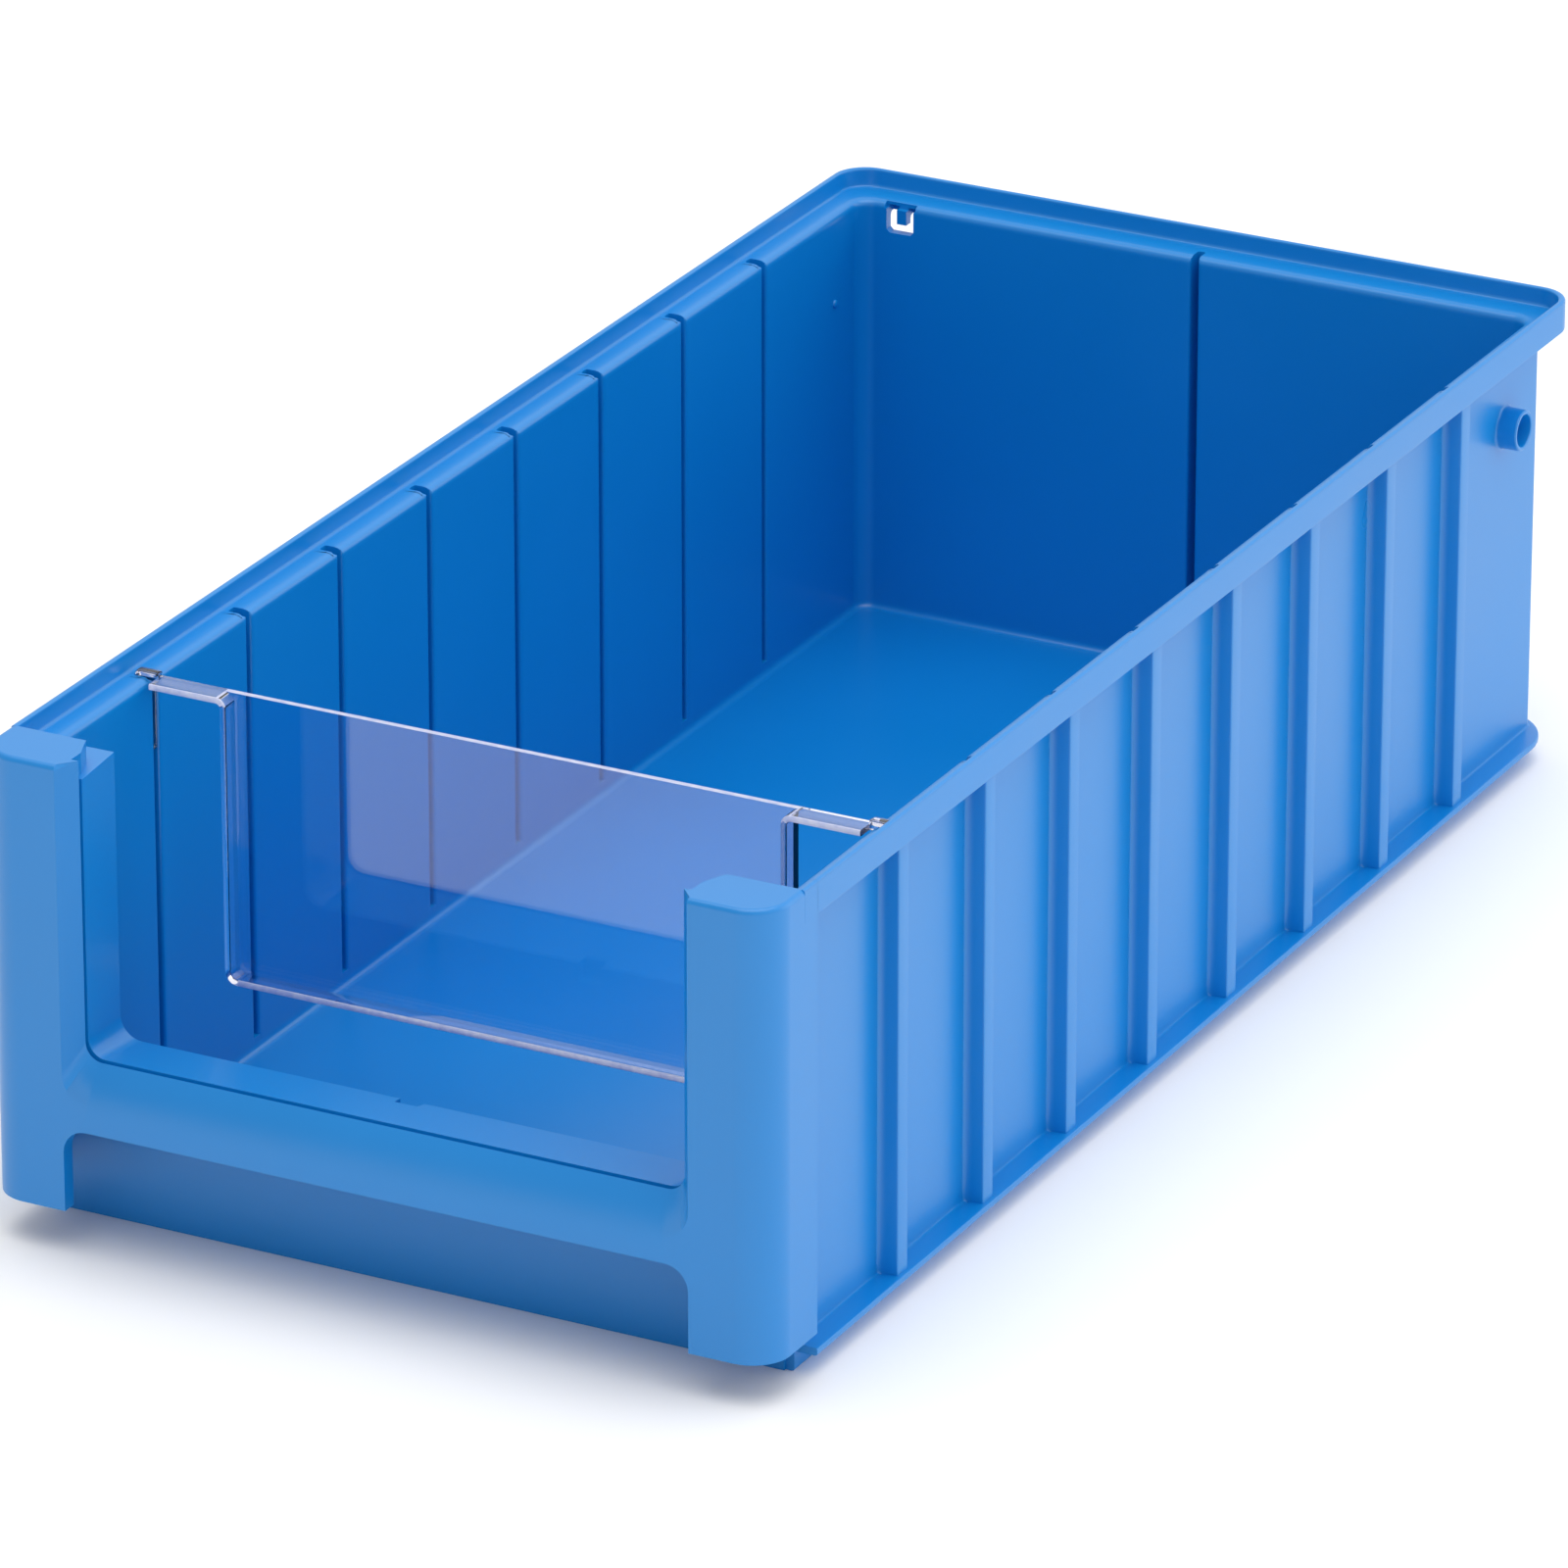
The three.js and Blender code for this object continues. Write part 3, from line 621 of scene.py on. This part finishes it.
def polypropylene(name, colours):
    """Moulded polypropylene: soft satin skin from a spark-eroded mould.

    The eye sees a saturated blue with a milky sheen at low angles, a fine grain that only softens
    highlights, and slow uneven gloss where the melt cooled at different rates.
    """
    material, tree = blank_material(name)
    place_in = node(tree, "ShaderNodeTexCoord").outputs["Object"]
    slow = node(tree, "ShaderNodeTexNoise", {"Scale": MELT_CELLS, "Detail": 3.0, "Roughness": 0.45},
                {"Vector": place_in})
    fine = node(tree, "ShaderNodeTexNoise", {"Scale": GRAIN_CELLS, "Detail": 2.0, "Roughness": 0.6},
                {"Vector": place_in})
    tint = node(tree, "ShaderNodeValToRGB", links={"Fac": slow.outputs["Fac"]})
    tint.color_ramp.elements[0].color = colours.shade
    tint.color_ramp.elements[1].color = colours.colour
    gloss = node(tree, "ShaderNodeMapRange",
                 {"To Min": colours.roughness - GLOSS_LOWER, "To Max": colours.roughness + GLOSS_HIGHER},
                 {"Value": slow.outputs["Fac"]})
    relief = node(tree, "ShaderNodeBump", {"Strength": 0.10, "Distance": 0.06 * MM},
                  {"Height": fine.outputs["Fac"]})
    surface = node(tree, "ShaderNodeBsdfPrincipled",
                   {"IOR": 1.5, "Specular IOR Level": 0.68},
                   {"Base Color": tint.outputs["Color"], "Roughness": gloss.outputs["Result"],
                    "Normal": relief.outputs["Normal"]})
    out = node(tree, "ShaderNodeOutputMaterial")
    tree.links.new(surface.outputs["BSDF"], out.inputs["Surface"])
    return material


def polystyrene(name, colours):
    """Clear polystyrene, polished mould: glass-like, with a faint cold violet cast; the bright edges are a
    painted highlight in the pane's second material.
    """
    material, tree = blank_material(name)
    place_in = node(tree, "ShaderNodeTexCoord").outputs["Object"]
    flow = node(tree, "ShaderNodeTexNoise", {"Scale": PANE_CELLS, "Detail": 2.0}, {"Vector": place_in})
    gloss = node(tree, "ShaderNodeMapRange", {"To Min": 0.0, "To Max": 0.04},
                 {"Value": flow.outputs["Fac"]})
    relief = node(tree, "ShaderNodeBump", {"Strength": 0.04, "Distance": 0.3 * MM},
                  {"Height": flow.outputs["Fac"]})
    surface = node(tree, "ShaderNodeBsdfPrincipled",
                   {"Base Color": colours.window, "IOR": 1.59, "Transmission Weight": 1.0},
                   {"Roughness": gloss.outputs["Result"], "Normal": relief.outputs["Normal"]})
    out = node(tree, "ShaderNodeOutputMaterial")
    tree.links.new(surface.outputs["BSDF"], out.inputs["Surface"])
    return material


def painted_edge_highlight(name, colours):
    """Painted highlight on the clear pane's top edge and the ribbon's front: a frosted, pale lilac skin that
    scatters light as a pale line, standing in for the light the clear edges catch.
    """
    material, tree = blank_material(name)
    place_in = node(tree, "ShaderNodeTexCoord").outputs["Object"]
    # noise that varies the painted edge highlight between the pale edge colour and the window tint
    edge_tint_noise = node(tree, "ShaderNodeTexNoise", {"Scale": EDGE_NOISE_CELLS, "Detail": 2.0}, {"Vector": place_in})
    tint = node(tree, "ShaderNodeValToRGB", links={"Fac": edge_tint_noise.outputs["Fac"]})
    tint.color_ramp.elements[0].color = colours.window_edge_highlight
    tint.color_ramp.elements[1].color = colours.window
    surface = node(tree, "ShaderNodeBsdfPrincipled",
                   {"IOR": 1.59, "Transmission Weight": 0.25, "Roughness": 0.35},
                   {"Base Color": tint.outputs["Color"]})
    out = node(tree, "ShaderNodeOutputMaterial")
    tree.links.new(surface.outputs["BSDF"], out.inputs["Surface"])
    return material


def paper_sweep(name, colours):
    """Matt white background paper with a barely visible fibre cloud."""
    material, tree = blank_material(name)
    place_in = node(tree, "ShaderNodeTexCoord").outputs["Object"]
    cloud = node(tree, "ShaderNodeTexNoise", {"Scale": CLOUD_CELLS, "Detail": 4.0}, {"Vector": place_in})
    tint = node(tree, "ShaderNodeValToRGB", links={"Fac": cloud.outputs["Fac"]})
    tint.color_ramp.elements[0].color = colours.paper
    tint.color_ramp.elements[1].color = linear("#FFFFFF")
    surface = node(tree, "ShaderNodeBsdfPrincipled", {"Roughness": 0.9, "Specular IOR Level": 0.2},
                   {"Base Color": tint.outputs["Color"]})
    out = node(tree, "ShaderNodeOutputMaterial")
    tree.links.new(surface.outputs["BSDF"], out.inputs["Surface"])
    return material


# ---------- settings ----------
class BinSizes(bpy.types.PropertyGroup):
    """Sizes a user would change."""

    groove_x: bpy.props.FloatProperty(
        name="Rear groove", description="Middle of the rear groove, across the bin",
        default=1.2 * MM, precision=4, unit="LENGTH", subtype="DISTANCE")
    rear_rib: bpy.props.FloatProperty(
        name="Rear rib share", description="Height of the rear rib as a share of a side rib's",
        default=0.8, min=0.0, max=1.0, subtype="FACTOR")
    floor_sink: bpy.props.FloatProperty(
        name="Floor sink", description="How far the floor's middle sinks",
        default=0.25 * MM, min=0.0, max=MM, precision=5, unit="LENGTH", subtype="DISTANCE")
    frame_wall: bpy.props.FloatProperty(
        name="Frame wall", description="Wall of the front frame",
        default=2.0 * MM, min=MM, max=3 * MM, precision=4, unit="LENGTH", subtype="DISTANCE")


class BinLook(bpy.types.PropertyGroup):
    """Colours and gloss a user would change."""

    colour: bpy.props.FloatVectorProperty(
        name="Plastic", description="Blue of the moulding", default=linear("#0084D3"),
        size=4, min=0.0, max=1.0, subtype="COLOR")
    shade: bpy.props.FloatVectorProperty(
        name="Plastic shade", description="Darker blue of the moulding", default=linear("#007ECA"),
        size=4, min=0.0, max=1.0, subtype="COLOR")
    window: bpy.props.FloatVectorProperty(
        name="Window", description="Tint of the clear window", default=linear("#F4F4FF"),
        size=4, min=0.0, max=1.0, subtype="COLOR")
    # painted highlight: the pale colour given to the window's edges in place of the light they catch
    window_edge_highlight: bpy.props.FloatVectorProperty(
        name="Window edge highlight", description="Painted highlight colour of the window's edges", default=linear("#A3B2EA"),
        size=4, min=0.0, max=1.0, subtype="COLOR")
    paper: bpy.props.FloatVectorProperty(
        name="Backdrop", description="Colour of the floor paper", default=linear("#FAFAFA"),
        size=4, min=0.0, max=1.0, subtype="COLOR")
    roughness: bpy.props.FloatProperty(
        name="Roughness", description="Gloss of the moulding", default=0.3, min=0.05, max=1.0,
        subtype="FACTOR")


def sizes():
    """The sizes set in the scene."""
    return bpy.context.scene.bin_sizes


def look():
    """The colours and gloss set in the scene."""
    return bpy.context.scene.bin_look


def moulding_material():
    """The blue moulding's one material, made when first asked for."""
    found = bpy.data.materials.get("moulded_polypropylene")
    return found or polypropylene("moulded_polypropylene", look())


def rib_nodes():
    """Names of the solid ribs on both sides."""
    return [f"side_rib_{side}_{k + 1}" for side in ("right", "left") for k in range(SLOT_COUNT)]


# ---------- operators ----------
class BIN_OT_shell(bpy.types.Operator):
    """Make the walls, ribs, slots, rim and foot flange"""

    bl_idname = "shelf_bin.shell"
    bl_label = "Moulded shell"

    def execute(self, context):
        nodes = ["side_wall_right", "side_wall_left", "rear_wall", "stop_tongue", "rim_right",
                 "rim_left", "rim_rear", "foot_flange_right", "foot_flange_left",
                 "foot_flange_rear", *rib_nodes()]
        piece = moulded("moulded_shell", shell_mesh(sizes()), nodes)
        cut_through(piece, U_CUT, CUT_FROM, U_CUT_TO)
        cut_through(piece, LEDGE_CUT, CUT_FROM, LEDGE_CUT_TO)
        finish_edges(piece)
        return {"FINISHED"}


class BIN_OT_floor(bpy.types.Operator):
    """Make the floor inside the walls"""

    bl_idname = "shelf_bin.floor"
    bl_label = "Floor"

    def execute(self, context):
        finish_edges(moulded("moulded_floor", floor_mesh(sizes()), ["floor_plate"]))
        return {"FINISHED"}


class BIN_OT_front(bpy.types.Operator):
    """Make the front frame and the lined front wall"""

    bl_idname = "shelf_bin.front"
    bl_label = "Front frame"

    def execute(self, context):
        posts_and_bar = moulded("front_frame", frame_mesh(), ["post_right", "post_left", "pull_bar"])
        finish_edges(posts_and_bar, wall=sizes().frame_wall / MM, radius=0.45, angle=35.0)
        finish_edges(moulded("rim_ends", rim_end_mesh(), []))
        liner = moulded("front_liner", liner_mesh(), ["front_wall", "front_lip"])
        finish_edges(liner, wall=LINER_WALL, radius=0.5)
        return {"FINISHED"}


class BIN_OT_bosses(bpy.types.Operator):
    """Make the round bosses and the small ejector mark"""

    bl_idname = "shelf_bin.bosses"
    bl_label = "Bosses"

    def execute(self, context):
        for side, name in ((1, "boss_right"), (-1, "boss_left")):
            data = turned_mesh("turned_" + name, turned(BOSS_PROFILE, *BOSS_AT, side))
            finish_edges(moulded("turned_" + name, data, [name]))
        data = turned_mesh("ejector_mark", turned(BUTTON_PROFILE, *BUTTON_AT))
        finish_edges(moulded("ejector_mark", data, []))
        return {"FINISHED"}


class BIN_OT_window(bpy.types.Operator):
    """Make the clear front window"""

    bl_idname = "shelf_bin.window"
    bl_label = "Clear window"

    def execute(self, context):
        piece = place("clear_pane", window_mesh(), WINDOW, ["front_window"],
                      polystyrene("clear_polystyrene", look()))
        # the second material paints a pale highlight on the pane's edges
        piece.data.materials.append(painted_edge_highlight("polystyrene_painted_edge_highlight", look()))
        faces = piece.data.polygons
        normals, centres = np.zeros(len(faces) * 3), np.zeros(len(faces) * 3)
        faces.foreach_get("normal", normals)
        faces.foreach_get("center", centres)
        across, depth, height = np.abs(centres[::3]) / MM, centres[1::3] / MM, centres[2::3] / MM
        # faces that get the painted edge highlight: upward faces along the pane's top, and the ribbon's
        # front faces
        top = (normals[2::3] > 0.9) & (height > ARM_TOP - 0.1) & (across < PANE_SHOULDER + 4.3)
        ahead = (normals[1::3] < -0.3) & (depth < RIBBON_FRONT + 0.4)
        ribbon = ahead & ((height > ARM_UNDER - 0.3) | (across < FOOT[0] - 1.5))
        faces.foreach_set("material_index", (top | ribbon).astype(np.int32))
        finish_edges(piece)
        return {"FINISHED"}


# backdrop: half side, points along a side, and how far it lies under the feet
PAPER_HALF, PAPER_POINTS, PAPER_DROP = 6000.0, 25, 0.05
# the sky's light grows from its weakest to its strongest along this direction
SKY_TOWARDS, SKY_WEAKEST, SKY_STRONGEST = (0.6, 0.75, 0.25), 0.4, 1.12
# lamps: name, place and aim in metres, width in metres and power in watts
LAMPS = (
    ("overhead", (0.2, -0.3, 2.2), (0, 0, 0), 2.4, 28.0),
    ("side", (2.2, 1.5, 0.9), (0, 0, 0.05), 1.8, 8.0),
)
CAMERA_AT, CAMERA_PITCH, CAMERA_YAW = (1.3768, -2.6670, 1.3431), 0.40443, 0.47926
CAMERA_LENS, CAMERA_SENSOR, CAMERA_CLIP = 271.33, 36.0, (0.1, 30.0)


def set_paper(context):
    """A wide flat sheet just under the bin's feet."""
    side = np.linspace(-PAPER_HALF, PAPER_HALF, PAPER_POINTS)
    x, y = np.meshgrid(side, side, indexing="ij")
    skin = Skin()
    skin.grid(np.stack([x, y, 0 * x - PAPER_DROP], -1))
    data = skin.mesh("paper_floor")
    data.materials.append(paper_sweep("white_paper", look()))
    paper = bpy.data.objects.new("paper_floor", data)
    context.scene.collection.objects.link(paper)


def set_light(context):
    """A soft white sky, stronger to the rear right, with one lamp overhead and one at the side."""
    world = bpy.data.worlds.new("soft_white")
    world.use_nodes = True
    tree = world.node_tree
    towards = node(tree, "ShaderNodeTexCoord").outputs["Generated"]
    along = node(tree, "ShaderNodeVectorMath", {"operation": "DOT_PRODUCT"})
    along.inputs[1].default_value = SKY_TOWARDS
    tree.links.new(towards, along.inputs[0])
    power = node(tree, "ShaderNodeMapRange",
                 {"From Min": -1.0, "To Min": SKY_WEAKEST, "To Max": SKY_STRONGEST},
                 {"Value": along.outputs["Value"]})
    tree.links.new(power.outputs["Result"], tree.nodes["Background"].inputs["Strength"])
    tree.nodes["Background"].inputs["Color"].default_value = linear("#FFFFFF")
    context.scene.world = world
    for name, at, aim, width, watts in LAMPS:
        lamp = bpy.data.lights.new(name, "AREA")
        lamp.shape, lamp.size, lamp.energy = "SQUARE", width, watts
        held = bpy.data.objects.new(name, lamp)
        held.location = at
        held.rotation_euler = (Vector(aim) - Vector(at)).to_track_quat("-Z", "Y").to_euler()
        context.scene.collection.objects.link(held)


def set_camera(context):
    """A long lens from the front right, looking down on the bin."""
    camera = bpy.data.cameras.new("camera")
    camera.sensor_width, camera.lens = CAMERA_SENSOR, CAMERA_LENS
    camera.clip_start, camera.clip_end = CAMERA_CLIP
    held = bpy.data.objects.new("camera", camera)
    held.location = CAMERA_AT
    held.rotation_euler = (math.pi / 2 - CAMERA_PITCH, 0.0, CAMERA_YAW)
    context.scene.collection.objects.link(held)
    context.scene.camera = held


class BIN_OT_stage(bpy.types.Operator):
    """Make the floor, the soft light and the camera"""

    bl_idname = "shelf_bin.stage"
    bl_label = "Stage"

    def execute(self, context):
        set_paper(context)
        set_light(context)
        set_camera(context)
        context.scene.view_settings.view_transform = "Standard"
        context.scene.view_settings.look = "None"
        return {"FINISHED"}


class BIN_PT_panel(bpy.types.Panel):
    """Lists the steps that make the bin"""

    bl_idname = "BIN_PT_panel"
    bl_label = "Shelf bin"
    bl_space_type = "VIEW_3D"
    bl_region_type = "UI"
    bl_category = "Shelf bin"

    def draw(self, context):
        """Shows every setting, and a button for every step."""
        for group in (context.scene.bin_sizes, context.scene.bin_look):
            for key in group.__annotations__:
                self.layout.prop(group, key)
        for step in OPERATORS:
            self.layout.operator(step.bl_idname)


OPERATORS = (BIN_OT_shell, BIN_OT_floor, BIN_OT_front, BIN_OT_bosses, BIN_OT_window, BIN_OT_stage)
CLASSES = (BinSizes, BinLook, *OPERATORS, BIN_PT_panel)


def register():
    """Adds the classes and hangs the settings on the scene."""
    for made in CLASSES:
        bpy.utils.register_class(made)
    bpy.types.Scene.bin_sizes = bpy.props.PointerProperty(type=BinSizes)
    bpy.types.Scene.bin_look = bpy.props.PointerProperty(type=BinLook)


def unregister():
    """Takes the settings and the classes away again."""
    del bpy.types.Scene.bin_look
    del bpy.types.Scene.bin_sizes
    for made in reversed(CLASSES):
        bpy.utils.unregister_class(made)


def main():
    """Makes every piece and the stage."""
    register()
    bpy.ops.shelf_bin.shell()
    bpy.ops.shelf_bin.floor()
    bpy.ops.shelf_bin.front()
    bpy.ops.shelf_bin.bosses()
    bpy.ops.shelf_bin.window()
    bpy.ops.shelf_bin.stage()
    bpy.context.view_layer.update()


if __name__ == "__main__":
    main()
